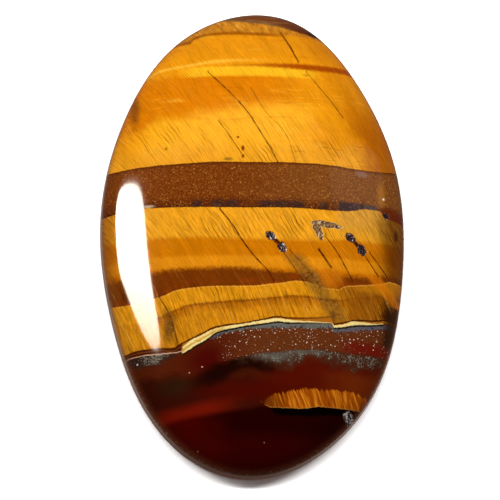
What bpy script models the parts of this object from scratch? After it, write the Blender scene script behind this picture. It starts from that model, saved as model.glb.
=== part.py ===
"""Oval cabochon of banded tiger's eye: one polished stone with a flat back and a domed face.

Real size in metres, +Z up. The stone lies on its flat back, on z = 0, with its long axis along Y.
The origin is the middle of the flat back.
"""

import math

import bmesh
import bpy
from mathutils import Matrix, Vector
from mathutils.bvhtree import BVHTree

MM = 0.001

# Driving dimensions of the cut stone.
LENGTH = 50.0 * MM
WIDTH = 32.2 * MM
HEIGHT = 7.0 * MM
GIRDLE_HEIGHT = 2.0 * MM  # from the flat back up to the line where the dome begins
WALL_DRAFT = 0.15 * MM  # how far the side wall leans in on its way up to the girdle
BACK_BEVEL = 0.35 * MM  # the ground edge between the side wall and the flat back

# The dome's section: a higher first power flattens the top, a higher second one fills the shoulder.
TOP_FLATNESS = 2.4
SHOULDER_FULLNESS = 1.7

# What hand grinding left of a true oval, as waves round the edge. Each is: how many waves there
# are, how far they stand out and in, and where the first crest is, in degrees from +X.
HAND_GRINDING = (
    (2, 0.11 * MM, 135),
    (3, 0.05 * MM, -8),
    (4, 0.13 * MM, -25),
    (5, 0.07 * MM, 23),
    (6, 0.06 * MM, 14),
    (7, 0.08 * MM, 19),
)

# How finely the surface is divided.
STEPS_AROUND = 96
STEPS_UP_DOME = 20

# Small natural pits and chips in the polished face. Places are on the face, seen from above.
# Each is: x, y, length, width, depth, and the direction of its length in degrees from +X.
PITS = (
    (1.5 * MM, -0.4 * MM, 1.3 * MM, 0.9 * MM, 0.22 * MM, -35),
    (2.7 * MM, -1.6 * MM, 1.2 * MM, 1.0 * MM, 0.20 * MM, -60),
    (9.9 * MM, -0.3 * MM, 1.3 * MM, 0.9 * MM, 0.22 * MM, -35),
    (11.1 * MM, -1.5 * MM, 1.2 * MM, 1.0 * MM, 0.20 * MM, -60),
    (7.3 * MM, 1.0 * MM, 3.2 * MM, 0.7 * MM, 0.14 * MM, -6),
    (6.5 * MM, 0.2 * MM, 2.0 * MM, 0.8 * MM, 0.14 * MM, -65),
    (13.8 * MM, 2.4 * MM, 1.0 * MM, 0.6 * MM, 0.15 * MM, -30),
    (9.9 * MM, -18.9 * MM, 1.7 * MM, 1.1 * MM, 0.22 * MM, -50),
)
PIT_SEGMENTS = 12
PIT_RINGS = 8


def clear_scene():
    for old in list(bpy.data.objects):
        bpy.data.objects.remove(old, do_unlink=True)


def hand_grinding(angle):
    """How far the edge stands out of a true oval at this angle."""
    out = 0.0
    for count, rise, crest in HAND_GRINDING:
        out += rise * math.cos(count * (angle - math.radians(crest)))
    return out


def oval_point(angle, inset, climb):
    """A point of the oval that is inset from the edge, and climbs from the girdle, 0, to the top, 1.

    The ovals keep a nearly even distance from the edge low on the dome, and draw together at its top.
    """
    half_width = WIDTH / 2 - inset
    half_length = LENGTH / 2 - inset
    across = half_width * (1 - climb)
    along = half_length - half_width * climb - (half_length - half_width) * climb**2
    x = across * math.cos(angle)
    y = along * math.sin(angle)
    radius = math.hypot(WIDTH / 2 * math.cos(angle), LENGTH / 2 * math.sin(angle))
    swell = 1 + hand_grinding(angle) * (1 - climb) ** 2 / radius
    return Vector((x * swell, y * swell))


def middle_of_edge():
    """The middle of the box around the stone's edge, which goes to the origin."""
    edge = [oval_point(angle, 0.0, 0.0) for angle in step_angles()]
    xs = [point.x for point in edge]
    ys = [point.y for point in edge]
    return Vector(((min(xs) + max(xs)) / 2, (min(ys) + max(ys)) / 2))


def step_angles():
    return [2 * math.pi * step / STEPS_AROUND for step in range(STEPS_AROUND)]


def dome_height(climb):
    rise = (1 - (1 - climb) ** TOP_FLATNESS) ** (1 / SHOULDER_FULLNESS)
    return GIRDLE_HEIGHT + (HEIGHT - GIRDLE_HEIGHT) * rise


def levels():
    """Every ring of the stone below its top, from the back upwards: inset, climb and height."""
    rings = [(BACK_BEVEL, 0.0, 0.0), (0.0, 0.0, BACK_BEVEL), (WALL_DRAFT, 0.0, GIRDLE_HEIGHT)]
    for step in range(1, STEPS_UP_DOME):
        climb = 1 - math.cos(step / STEPS_UP_DOME * math.pi / 2)
        rings.append((WALL_DRAFT, climb, dome_height(climb)))
    return rings


def stone_bmesh():
    """The closed stone: a flat back, a bevel, the side wall and the dome."""
    stone = bmesh.new()
    middle = middle_of_edge()
    rings = []
    for inset, climb, height in levels():
        ring = []
        for angle in step_angles():
            flat = oval_point(angle, inset, climb) - middle
            ring.append(stone.verts.new((flat.x, flat.y, height)))
        rings.append(ring)
    stone.faces.new(list(reversed(rings[0])))
    for low, high in zip(rings, rings[1:]):
        for here in range(STEPS_AROUND):
            after = (here + 1) % STEPS_AROUND
            stone.faces.new((low[here], low[after], high[after], high[here]))
    top = stone.verts.new((-middle.x, -middle.y, HEIGHT))
    for here in range(STEPS_AROUND):
        after = (here + 1) % STEPS_AROUND
        stone.faces.new((rings[-1][here], rings[-1][after], top))
    bmesh.ops.recalc_face_normals(stone, faces=stone.faces)
    return stone


def pit_cutter(number, surface, x, y, length, width, depth, heading):
    """A flattened ball that sinks to the pit's depth, square to the face where it sits."""
    above = Vector((x, y, 2 * HEIGHT))
    place, normal, _, _ = surface.ray_cast(above, Vector((0, 0, -1)))
    ball = bmesh.new()
    bmesh.ops.create_uvsphere(ball, u_segments=PIT_SEGMENTS, v_segments=PIT_RINGS, radius=1.0)
    size = Matrix.Diagonal((length / 2, width / 2, 2 * depth, 1))
    turn = Matrix.Rotation(math.radians(heading), 4, "Z")
    tilt = Vector((0, 0, 1)).rotation_difference(normal).to_matrix().to_4x4()
    lift = Matrix.Translation(place + normal * depth)
    ball.transform(lift @ tilt @ turn @ size)
    mesh = bpy.data.meshes.new(f"pit_cutter_{number}")
    ball.to_mesh(mesh)
    ball.free()
    cutter = bpy.data.objects.new(mesh.name, mesh)
    cutter.display_type = "WIRE"
    cutter.hide_render = True
    bpy.context.collection.objects.link(cutter)
    return cutter


def stone_material():
    """Golden brown, glossy polish."""
    material = bpy.data.materials.new("tigers_eye")
    material.use_nodes = True
    shader = material.node_tree.nodes["Principled BSDF"]
    shader.inputs["Base Color"].default_value = (0.50, 0.22, 0.035, 1)
    shader.inputs["Roughness"].default_value = 0.12
    shader.inputs["Metallic"].default_value = 0.0
    return material


def build_cabochon():
    shape = stone_bmesh()
    surface = BVHTree.FromBMesh(shape)
    mesh = bpy.data.meshes.new("cabochon")
    shape.to_mesh(mesh)
    shape.free()
    mesh.shade_smooth()
    mesh.set_sharp_from_angle(angle=math.radians(35))
    mesh.materials.append(stone_material())
    cabochon = bpy.data.objects.new("cabochon", mesh)
    bpy.context.collection.objects.link(cabochon)
    for number, pit in enumerate(PITS, start=1):
        cutter = pit_cutter(number, surface, *pit)
        cut = cabochon.modifiers.new(f"pit_{number}", "BOOLEAN")
        cut.operation = "DIFFERENCE"
        cut.solver = "EXACT"
        cut.object = cutter
    return cabochon


clear_scene()
build_cabochon()
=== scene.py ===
"""Looks of the banded tiger's eye cabochon: a fine polished surface, its bands, and a plain studio.

The stone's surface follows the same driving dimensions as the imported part. Its looks are one
procedural material: a solid pattern of beds, fibres and cracks that runs through the whole stone.
"""

import math

import bmesh
import bpy
import numpy as np
from mathutils import Matrix, Vector, noise


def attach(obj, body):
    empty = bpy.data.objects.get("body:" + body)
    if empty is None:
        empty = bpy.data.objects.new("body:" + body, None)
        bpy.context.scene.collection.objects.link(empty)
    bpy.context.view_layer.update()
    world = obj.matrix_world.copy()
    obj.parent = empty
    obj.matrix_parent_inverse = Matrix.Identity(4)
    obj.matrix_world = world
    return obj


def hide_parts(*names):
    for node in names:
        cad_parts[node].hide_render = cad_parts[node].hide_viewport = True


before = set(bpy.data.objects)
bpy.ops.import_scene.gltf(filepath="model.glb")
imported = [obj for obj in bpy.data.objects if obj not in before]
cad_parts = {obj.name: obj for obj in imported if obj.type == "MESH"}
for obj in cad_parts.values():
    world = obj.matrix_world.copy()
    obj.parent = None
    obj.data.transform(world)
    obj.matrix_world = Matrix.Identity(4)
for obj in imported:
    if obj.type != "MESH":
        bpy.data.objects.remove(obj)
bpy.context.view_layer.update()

MM = 0.001

# The part's own driving dimensions. Hand grinding left waves round the edge: how many there are,
# how far they stand out and in, and where the first crest is, in degrees from +X.
LENGTH = 50.0 * MM
WIDTH = 32.2 * MM
HEIGHT = 7.0 * MM
GIRDLE_HEIGHT = 2.0 * MM  # where the dome begins
WALL_DRAFT = 0.15 * MM  # how far the side wall leans in on its way up
BACK_BEVEL = 0.35 * MM
TOP_FLATNESS = 2.4
SHOULDER_FULLNESS = 1.7
HAND_GRINDING = (
    (2, 0.11 * MM, 135),
    (3, 0.05 * MM, -8),
    (4, 0.13 * MM, -25),
    (5, 0.07 * MM, 23),
    (6, 0.06 * MM, 14),
    (7, 0.08 * MM, 19),
)

# How finely the polished surface is divided, and how far round each pit it is divided again.
STEPS_AROUND = 360
STEPS_UP_DOME = 96
STEPS_UP_WALL = 6
FINE_REACH = 0.55 * MM
FINE_CUTS = 3
SHARP_ANGLE = math.radians(32)  # edges sharper than this aren't smoothed over in the shading

# Natural pits and chips: x, y, length, width, depth, and the direction of the length in degrees.
PITS = (
    (1.5 * MM, -0.4 * MM, 1.3 * MM, 0.9 * MM, 0.22 * MM, -35),
    (2.7 * MM, -1.6 * MM, 1.2 * MM, 1.0 * MM, 0.20 * MM, -60),
    (9.9 * MM, -0.3 * MM, 1.3 * MM, 0.9 * MM, 0.22 * MM, -35),
    (11.1 * MM, -1.5 * MM, 1.2 * MM, 1.0 * MM, 0.20 * MM, -60),
    (7.3 * MM, 1.0 * MM, 3.2 * MM, 0.7 * MM, 0.14 * MM, -6),
    (6.5 * MM, 0.2 * MM, 2.0 * MM, 0.8 * MM, 0.14 * MM, -65),
    (13.8 * MM, 2.4 * MM, 1.0 * MM, 0.6 * MM, 0.15 * MM, -30),
    (9.9 * MM, -18.9 * MM, 1.7 * MM, 1.1 * MM, 0.22 * MM, -50),
)

# How ragged the pits are: the size of each wave as a share, and how many of them to a millimetre.
PIT_EDGE_WAVES = ((0.28, 2.6), (0.14, 7))
PIT_FLOOR_WAVE = (0.5, 5)
PIT_FLOOR_LEVEL = 0.75  # the mean depth of a floor, as a share of the pit's depth
PIT_FLOOR_SEED = Vector((9, 4, 0))
PIT_EDGE_STEEPNESS = 1.6  # how fast a pit counts as dirty inside its edge
FACING_UP = 0.1  # the least upward part of the normal where pits may go,
PITS_ABOVE = GIRDLE_HEIGHT * 0.9  # and the least height

# Where the face and the back lie on the stone's texture map: their middle, and map units per metre.
FACE_ON_MAP = (0.345, 0.5, 16.6)
BACK_ON_MAP = (0.845, 0.5, 9.0)


# ---------------------------------------------------------------- the stone's surface


def hand_grinding(angle):
    """How far the edge stands out of a true oval at this angle."""
    out = 0.0
    for count, rise, crest in HAND_GRINDING:
        out = out + rise * np.cos(count * (angle - math.radians(crest)))
    return out


def oval(angle, inset, climb):
    """Points of the oval that is inset from the edge, and climbs from the girdle, 0, to the top, 1."""
    half_width = WIDTH / 2 - inset
    half_length = LENGTH / 2 - inset
    across = half_width * (1 - climb)
    along = half_length - half_width * climb - (half_length - half_width) * climb**2
    radius = np.hypot(WIDTH / 2 * np.cos(angle), LENGTH / 2 * np.sin(angle))
    swell = 1 + hand_grinding(angle) * (1 - climb) ** 2 / radius
    return np.stack([across * np.cos(angle) * swell, along * np.sin(angle) * swell], axis=-1)


def dome_height(climb):
    rise = (1 - (1 - climb) ** TOP_FLATNESS) ** (1 / SHOULDER_FULLNESS)
    return GIRDLE_HEIGHT + (HEIGHT - GIRDLE_HEIGHT) * rise


def levels():
    """Every ring below the top, from the back upwards: inset, climb and height."""
    rings = [(BACK_BEVEL, 0.0, 0.0)]
    for step in range(STEPS_UP_WALL + 1):
        part_way = step / STEPS_UP_WALL
        height = BACK_BEVEL + (GIRDLE_HEIGHT - BACK_BEVEL) * part_way
        rings.append((WALL_DRAFT * part_way, 0.0, height))
    for step in range(1, STEPS_UP_DOME):
        climb = 1 - math.cos(step / STEPS_UP_DOME * math.pi / 2)
        rings.append((WALL_DRAFT, climb, dome_height(climb)))
    return rings


def stone_rings():
    """The corner points of every ring, from the back upwards, and the top point."""
    angles = np.arange(STEPS_AROUND) * 2 * math.pi / STEPS_AROUND
    edge = oval(angles, 0.0, 0.0)
    middle = (edge.min(axis=0) + edge.max(axis=0)) / 2
    rings = []
    for inset, climb, height in levels():
        flat = oval(angles, inset, climb) - middle
        rings.append(np.column_stack([flat, np.full(STEPS_AROUND, height)]))
    return np.array(rings), np.array([-middle[0], -middle[1], HEIGHT])


def unrolled(rings, top):
    """For each corner point, its direction from the top times the way down to it over the surface."""
    steps = np.linalg.norm(np.diff(rings, axis=0), axis=2)
    last = np.linalg.norm(rings[-1] - top, axis=1)
    way = last + np.vstack([np.cumsum(steps[::-1], axis=0)[::-1], np.zeros(STEPS_AROUND)])
    out = rings[..., :2] - top[:2]
    return out / np.linalg.norm(out, axis=2, keepdims=True) * way[..., None]


def smooth_stone():
    """The stone before its pits: a closed bmesh with a flat back and a texture map."""
    points, top_point = stone_rings()
    places = unrolled(points, top_point)
    stone = bmesh.new()
    mapped = stone.loops.layers.uv.new("OFBake")

    def add_face(corners):
        face = stone.faces.new([vertex for vertex, _ in corners])
        for loop, (_, place) in zip(face.loops, corners):
            x, y, scale = FACE_ON_MAP
            loop[mapped].uv = (x + place[0] * scale, y + place[1] * scale)
        return face

    rings = []
    for ring, flat in zip(points, places):
        rings.append([(stone.verts.new(point), place) for point, place in zip(ring, flat)])
    back = stone.faces.new([vertex for vertex, _ in reversed(rings[0])])
    for loop in back.loops:
        x, y, scale = BACK_ON_MAP
        loop[mapped].uv = (x - loop.vert.co.x * scale, y + loop.vert.co.y * scale)
    for low, high in zip(rings, rings[1:]):
        for here in range(STEPS_AROUND):
            after = (here + 1) % STEPS_AROUND
            add_face((low[here], low[after], high[after], high[here]))
    top = (stone.verts.new(top_point), (0.0, 0.0))
    for here in range(STEPS_AROUND):
        after = (here + 1) % STEPS_AROUND
        add_face((rings[-1][here], rings[-1][after], top))
    return stone


def divide_round_pits(stone):
    """Splits the faces round each pit, so that the pit keeps its own small shape."""
    near = set()
    for face in stone.faces:
        middle = face.calc_center_median()
        if middle.z > GIRDLE_HEIGHT and face.normal.z > 0:
            for x, y, length, *_ in PITS:
                if math.hypot(middle.x - x, middle.y - y) < length / 2 + FINE_REACH:
                    near.update(face.edges)
    bmesh.ops.subdivide_edges(stone, edges=list(near), cuts=FINE_CUTS, use_grid_fill=True)
    many_sided = [face for face in stone.faces if len(face.verts) > 4 and face.normal.z > 0]
    bmesh.ops.triangulate(stone, faces=many_sided)


def pit_depth(x, y):
    """How deep the pits go at a place, and how far into a pit it is, from 0 to 1."""
    deepest = 0.0
    inside = 0.0
    for number, (px, py, length, width, depth, heading) in enumerate(PITS):
        turn = math.radians(heading)
        along = (x - px) * math.cos(turn) + (y - py) * math.sin(turn)
        across = (y - py) * math.cos(turn) - (x - px) * math.sin(turn)
        spot = Vector((x / MM, y / MM, number))
        ragged = sum(size * noise.noise(spot * per_mm) for size, per_mm in PIT_EDGE_WAVES)
        reach = math.hypot(2 * along / length, 2 * across / width) * (1 + ragged)
        if reach < 1:
            floor = 1 - reach * reach
            size, per_mm = PIT_FLOOR_WAVE
            rough = PIT_FLOOR_LEVEL + size * noise.noise(spot * per_mm + PIT_FLOOR_SEED)
            deepest = max(deepest, depth * floor * rough)
            inside = max(inside, min(1.0, floor * PIT_EDGE_STEEPNESS))
    return deepest, inside


def build_stone():
    """The whole polished stone, with its pits. The "pit" attribute says how far into one a point is."""
    stone = smooth_stone()
    stone.normal_update()
    divide_round_pits(stone)
    stone.normal_update()
    pit_layer = stone.verts.layers.float.new("pit")
    moves = []
    for vertex in stone.verts:
        if vertex.normal.z > FACING_UP and vertex.co.z > PITS_ABOVE:
            depth, inside = pit_depth(vertex.co.x, vertex.co.y)
            if depth > 0:
                moves.append((vertex, vertex.normal * depth))
                vertex[pit_layer] = inside
    for vertex, move in moves:
        vertex.co -= move
    mesh = bpy.data.meshes.new("polished_stone")
    stone.to_mesh(mesh)
    stone.free()
    mesh.shade_smooth()
    mesh.set_sharp_from_angle(angle=SHARP_ANGLE)
    piece = bpy.data.objects.new("polished_stone", mesh)
    bpy.context.scene.collection.objects.link(piece)
    return piece


# ---------------------------------------------------------------- arithmetic with shader nodes

PAINT_STRENGTH = 0.49  # the studio's light is stronger than what shows plain white
SEED_STEP = 0.04  # metres that each step of a noise's seed moves it away from the others
BREAK = 0.22  # a curve's points closer than this, in mm, are the two sides of a break


def tone(look):
    """A colour of the lit stone, given as it looks in the studio's light, 0 to 255."""
    linear = []
    for value in look:
        part = value / 255
        lit = part / 12.92 if part <= 0.04045 else ((part + 0.055) / 1.055) ** 2.4
        linear.append(lit * PAINT_STRENGTH)
    return (*linear, 1.0)


class Value:
    """A number or a colour that a material's nodes work out. Arithmetic on it adds nodes."""

    def __init__(self, recipe, socket):
        self.recipe = recipe
        self.socket = socket

    def __add__(self, other):
        return self.recipe.math("ADD", self, other)

    def __sub__(self, other):
        return self.recipe.math("SUBTRACT", self, other)

    def __rsub__(self, other):
        return self.recipe.math("SUBTRACT", other, self)

    def __mul__(self, other):
        return self.recipe.math("MULTIPLY", self, other)


class Recipe:
    """Builds a material's nodes from plain arithmetic. The same sum is only worked out once."""

    def __init__(self, tree):
        self.tree = tree
        self.made = {}

    def make(self, kind, inputs, output=0, **settings):
        """The output of a node with these inputs and settings, made if there is none yet."""
        key = (kind, tuple(inputs.items()), tuple(settings.items()))
        if key not in self.made:
            node = self.tree.nodes.new(kind)
            for name, value in settings.items():
                setattr(node, name, value)
            for name, value in inputs.items():
                self.feed(node.inputs[name], value)
            self.made[key] = {}
            for place, socket in enumerate(node.outputs):
                self.made[key][place] = Value(self, socket)
                if socket.enabled:
                    self.made[key][socket.name] = self.made[key][place]
        return self.made[key].get(output)

    def feed(self, socket, value):
        if isinstance(value, Value):
            self.tree.links.new(value.socket, socket)
        else:
            socket.default_value = value

    def math(self, operation, *values):
        if values[1:] == ({"MULTIPLY": 1, "ADD": 0, "SUBTRACT": 0}.get(operation),):
            return values[0]
        return self.make("ShaderNodeMath", dict(enumerate(values)), operation=operation)

    def noise(self, vector, detail=2, roughness=0.5, fourth=None):
        """Cloudy noise from about -0.5 to 0.5, with one cloud to each unit of the vector."""
        inputs = {"Vector": vector, "Scale": 1.0, "Detail": detail, "Roughness": roughness}
        if fourth is None:
            return self.make("ShaderNodeTexNoise", inputs, "Fac") - 0.5
        inputs["W"] = fourth
        return self.make("ShaderNodeTexNoise", inputs, "Fac", noise_dimensions="4D") - 0.5

    def cells(self, vector):
        """The distance to the nearest of scattered points, and a random number for that point."""
        inputs = {"Vector": vector, "Scale": 1.0}
        distance = self.make("ShaderNodeTexVoronoi", inputs, "Distance")
        colour = self.make("ShaderNodeTexVoronoi", inputs, "Color")
        return distance, self.make("ShaderNodeSeparateColor", {"Color": colour})


def far(value):
    return value.recipe.math("ABSOLUTE", value)


def least(first, second):
    return first.recipe.math("MINIMUM", first, second)


def most(first, second):
    return first.recipe.math("MAXIMUM", first, second)


def ramp(value, start, end, first, last, **settings):
    """First before start, last after end, and in a straight line between unless the settings say."""
    inputs = {"Value": value, "From Min": start, "From Max": end, "To Min": first, "To Max": last}
    return value.recipe.make("ShaderNodeMapRange", inputs, "Result", **settings)


def rise(value, start, end):
    """0 before start, 1 after end, and smooth between. With start above end it falls instead."""
    low, high, first, last = (start, end, 0.0, 1.0) if start < end else (end, start, 1.0, 0.0)
    return ramp(value, low, high, first, last, interpolation_type="SMOOTHSTEP", clamp=False)


def between(value, start, end, soft):
    """1 from start to end, and 0 beyond them."""
    return rise(value, start - soft, start) * rise(value, end + soft, end)


def paint(under, colour, cover):
    """Lays a colour over another. Cover is how much of the lower one it hides."""
    under, colour = (one if isinstance(one, Value) else tone(one) for one in (under, colour))
    inputs = {"Factor": cover, "A": under, "B": colour}
    return cover.recipe.make("ShaderNodeMix", inputs, "Result", data_type="RGBA")


def layered(colour, *coats):
    """A colour with coats laid over it in turn. Each coat is a colour and how much it hides."""
    for coat, cover in coats:
        colour = paint(colour, coat, cover)
    return colour


def shade(colour, strength):
    """A colour made darker or lighter by a factor."""
    return colour.recipe.make("ShaderNodeHueSaturation", {"Color": colour, "Value": strength})


def curve(value, points, low, high):
    """A smooth curve through given points, from a low value to a high one."""
    recipe = value.recipe
    node = recipe.tree.nodes.new("ShaderNodeFloatCurve")
    line = node.mapping.curves[0]
    heights = [height for _, height in points]
    base = min(heights)
    span = max(max(heights) - base, 0.001)
    placed = sorted(((at - low) / (high - low), (height - base) / span) for at, height in points)
    line.points[0].location = placed[0]
    line.points[-1].location = placed[-1]
    for at, height in placed[1:-1]:
        line.points.new(at, height)
    for point in line.points:
        point.handle_type = "AUTO_CLAMPED"
    for here, after in zip(line.points[:-1], line.points[1:]):
        if after.location.x - here.location.x < BREAK / (high - low):
            here.handle_type = after.handle_type = "VECTOR"
    node.mapping.extend = "HORIZONTAL"
    node.mapping.update()
    recipe.feed(node.inputs["Value"], (value - low) * (1 / (high - low)))
    return Value(recipe, node.outputs[0]) * span + base


# ---------------------------------------------------------------- the beds of the rock, in millimetres

BED_TILT = 0.12  # a bed lies this much further along the stone for each unit of height
FIBRE_SLANT = 0.65  # how far across the stone a fibre goes for each unit along it
BEND_HEIGHT = -6.6  # below this the fibres stand steeper,
FIBRE_BEND = 0.25  # by this much
FAR = 17.0  # past the stone's edge on either side
FAULT = 8.03  # where the lower beds are broken across
WALL_FADE = (2.2, 1.7)  # the heights where the face ends and the side wall begins
BACK_FADE = (0.06, 0.02)  # and where the bevel ends and the flat back begins
POLISH_ROUGHNESS = 0.07
ROUGHER_WALL = 0.08  # added to the polish on the side wall,
ROUGHER_BACK = 0.3  # on the flat back,
ROUGHER_PIT = 0.5  # and in the pits
QUARTZ_IOR = 1.54

# Lines between beds, from -X to +X: across the stone and along it.
CAP_EDGE = ((-7, 24.2), (-4.1, 23.65), (-1, 23.05), (2.2, 22.55), (4.9, 21.95), (7.6, 21.5))
STRIP_EDGE = ((-6.8, 20.8), (-6.1, 21.4), (-4.2, 21.65), (0, 21.5), (3.2, 21.4), (6, 21.4))
YELLOW_LINE = ((-11, 17.15), (-9.9, 17.55), (-6.8, 17.7), (-3.5, 18.05), (1.5, 18.1), (5, 18.05))
DARK_STREAK = ((-5.8, 17.35), (-2, 17.48), (2, 17.52), (6.4, 17.6), (8.5, 17.75), (10, 17.9))
ORANGE_TOP = ((-14, 16.2), (-6, 16.6), (0, 16.4), (5, 15.9), (10, 15.0))
ORANGE_FOOT = ((-12, 10.6), (-10.9, 11.5), (-6.8, 12.1), (-2.3, 12.7), (3.3, 13.2), (10, 13.4))
BAND_TOP = (
    (-15.4, 6.7), (-14, 6.5), (-11, 6.53), (-6.9, 6.58), (-4, 6.65), (0.6, 6.62), (3, 6.68),
    (5.6, 6.68), (8.6, 6.6), (11, 6.48), (13, 6.6), (14.7, 6.97), (15.5, 7.15),
)
BAND_FOOT = (
    (-15.8, 1.84), (-15.2, 1.76), (-13, 2.05), (-11.7, 2.0), (-8.9, 1.87), (-5.3, 1.79), (-1.7, 1.72),
    (3, 1.79), (8.3, 1.72), (10.4, 1.93), (12.9, 2.27), (13.4, 2.04), (13.9, 1.62), (15.4, 1.44),
)
SMUDGES = (  # along the band's foot: where, and how wide
    (-6.1, 1.125), (-4.0, 1.375), (-2.5, 1.5), (1.0, 1.625), (2.7, 2.0), (4.3, 1.5), (7.1, 1.0),
)
BRIGHT_FOOT = ((-10.9, -1.3), (-5.8, -1.4), (-3.7, -1.5), (3, -1.6), (10, -1.2))
BROWN_TOP = ((-15, -5.0), (-10.7, -4.8), (-8.3, -4.5), (-2.7, -4.45), (2.5, -4.8), (9, -4.9), (14, -4.4))
BROWN_FOOT = (
    (-14.9, -7.6), (-13.9, -7.85), (-13, -7.9), (-11.4, -7.67), (-9.5, -7.35), (-8.6, -6.97),
    (-7.6, -6.76), (-5.2, -6.57), (-0.6, -6.5), (1.4, -6.3), (3, -6.1), (4.2, -5.9), (8.2, -6.55),
    (9.3, -6.15), (10.9, -5.9), (12.9, -5.5), (14.2, -5.0),
)
SECOND_LINE = (
    (-14.1, -9.75), (-12.4, -10), (-9.8, -9.55), (-9, -9.25), (-8, -8.85), (-6.5, -8.45),
    (-4.7, -8.3), (-0.6, -8), (1.4, -7.8), (4.7, -7.5), (8.1, -7.75), (9.8, -7.45), (13.9, -6.65),
)
GOLD_FOOT = (
    (-13.2, -12.7), (-12.2, -12.6), (-9.7, -12.65), (-8.6, -12.8), (-7.9, -12.5), (-7.05, -12.1),
    (-6.05, -11.65), (-5, -11.15), (-4.5, -10.9), (-3.4, -10.65), (-1.1, -10.38), (0, -10.15),
    (1, -9.95), (2.4, -9.7), (3.1, -9.8), (5.2, -9.75), (7.9, -9.45), (8.1, -10.2), (9, -10),
    (10.9, -9.55), (11.7, -9.5), (13.8, -9.1),
)
CREAM_TOP = (
    (-7.6, -12.75), (-7.05, -12.35), (-6.45, -11.95), (-5.8, -11.7), (-4.7, -11.15), (-3.95, -10.9),
    (-2.9, -10.7), (-1.15, -10.45), (-0.1, -10.25), (1, -10.05), (2.4, -9.87), (3.1, -9.95),
    (5.2, -10.05), (7.9, -10.05), (8.1, -10.35), (9, -10.15), (10.8, -9.7), (11.7, -9.7), (13.7, -9.45),
)
CREAM_FOOT = (
    (-7.4, -13.35), (-6.75, -13), (-6.1, -12.6), (-5.5, -12.3), (-4.85, -11.9), (-4.25, -11.45),
    (-3.45, -11.15), (-2.6, -11), (-1.15, -10.7), (-0.1, -10.55), (1, -10.4), (2.5, -10.2),
    (3.1, -10.27), (5.2, -10.2), (7.9, -10.1), (8.1, -10.6), (9, -10.45), (10.8, -10.05),
    (11.7, -9.95), (13.6, -9.55),
)
GREY_FOOT = (
    (-5, -12.2), (-4.5, -12.1), (-3.45, -11.6), (-2.4, -11.35), (-1.3, -11.2), (-0.1, -11.05),
    (2.5, -10.9), (6.25, -10.8), (7.9, -10.65), (8.1, -11.15), (9.5, -10.9), (10.6, -10.75),
    (12.8, -10.3), (13.4, -10.2),
)
LEFT_LINE = ((-13.3, -13.3), (-12.6, -13.2), (-11.2, -13.2), (-9.1, -13.25), (-8.1, -13.2), (-7.6, -13.1))
LEFT_GREY_FOOT = ((-13.5, -13.6), (-11.7, -14.3), (-10.2, -14.3), (-9.1, -13.9), (-7.6, -13.4))
SECOND_GREY_TOP = (
    (-2.6, -14.1), (-1.6, -13.9), (0.6, -13.45), (2, -13.3), (3.5, -13.1), (5.1, -13), (6.7, -12.9),
    (9.8, -13.05), (12.9, -12.97),
)
SECOND_GREY_FOOT = (
    (-2.6, -14.2), (-0.6, -13.97), (0.6, -14.2), (2, -14.6), (2.7, -14.9), (4, -14.45), (5.1, -14),
    (6.1, -13.85), (7.2, -14.1), (8.2, -14.4), (10.4, -14.6), (12.6, -14.1),
)
LENS_TOP = (
    (0.6, -18.3), (1.1, -17.9), (1.6, -17.6), (2.6, -17.35), (4.3, -16.95), (5.4, -16.8),
    (9.6, -16.75), (11.2, -16.9), (11.9, -17.05),
)
LENS_FOOT = (
    (0.6, -18.3), (1.2, -18.7), (2, -18.85), (4.1, -18.85), (6.7, -18.53), (9.2, -18.48), (11.9, -18.3),
)
BLACK_FOOT = (
    (1.3, -19.1), (2, -19.45), (3.6, -19.6), (5.1, -19.57), (6.7, -19.4), (9.4, -19.15), (11.5, -19.0),
)
SMEAR = ((-12, -16.0), (-8.6, -16.6), (-5.5, -16.05), (-3.15, -15.2), (-0.8, -14.5), (2, -14.5))
RED_FOOT = (
    (-11, -20.2), (-9, -19.95), (-6, -19.5), (-3.1, -19.1), (-0.75, -18.85), (1, -18.6), (3, -18.5),
)

# Cracks down from one bed to another: width, how dark, and their path. The first two join the pits.
CRACKS = (
    (0.45, 1.0, ((1.6, -1.3), (2.6, -2.3))),
    (0.45, 1.0, ((10.0, -1.1), (11.0, -2.1))),
    (0.13, 0.75, ((-4.97, 16.8), (-1, 12.3), (0.3, 10.25), (2.2, 6.8), (2.4, 6.3))),
    (0.09, 0.55, ((-1.65, 13.2), (-0.3, 11.45))),
    (0.12, 0.7, ((-3.85, 11.1), (-2.8, 9.55), (-1.55, 7.6))),
    (0.17, 0.8, ((2.8, 21.6), (3.7, 20), (4.55, 18.2))),
    (0.13, 0.6, ((5.4, 17), (6.85, 15.25), (7.9, 14), (9.25, 12.2))),
    (0.09, 0.5, ((-0.5, 14.8), (0.95, 12.3), (3.15, 9.75), (4.1, 6.95))),
    (0.15, 0.85, (
        (-3.75, 1.55), (-2.4, -0.15), (-1.35, -1.85), (-0.1, -3.5), (1.25, -4.95), (1.85, -5.9),
    )),
    (0.13, 0.8, ((7.2, -1.05), (8.25, -2.35), (10.05, -5.45))),
    (0.2, 0.9, ((6.55, -2.55), (7.8, -4.25))),
    (0.13, 0.8, ((3.5, -2.7), (5.1, -4.4), (6.65, -6.4))),
    (0.13, 0.7, ((2.7, -2.7), (4.2, -4.9), (5.1, -6.2))),
    (0.13, 0.8, ((11.3, -2.6), (12.85, -4.65))),
    (0.13, 0.85, ((12.0, -2.4), (13.85, -4.55))),
    (0.13, 0.75, ((-9.95, -7.45), (-8.8, -9.55), (-8, -12.45))),
)


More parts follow.
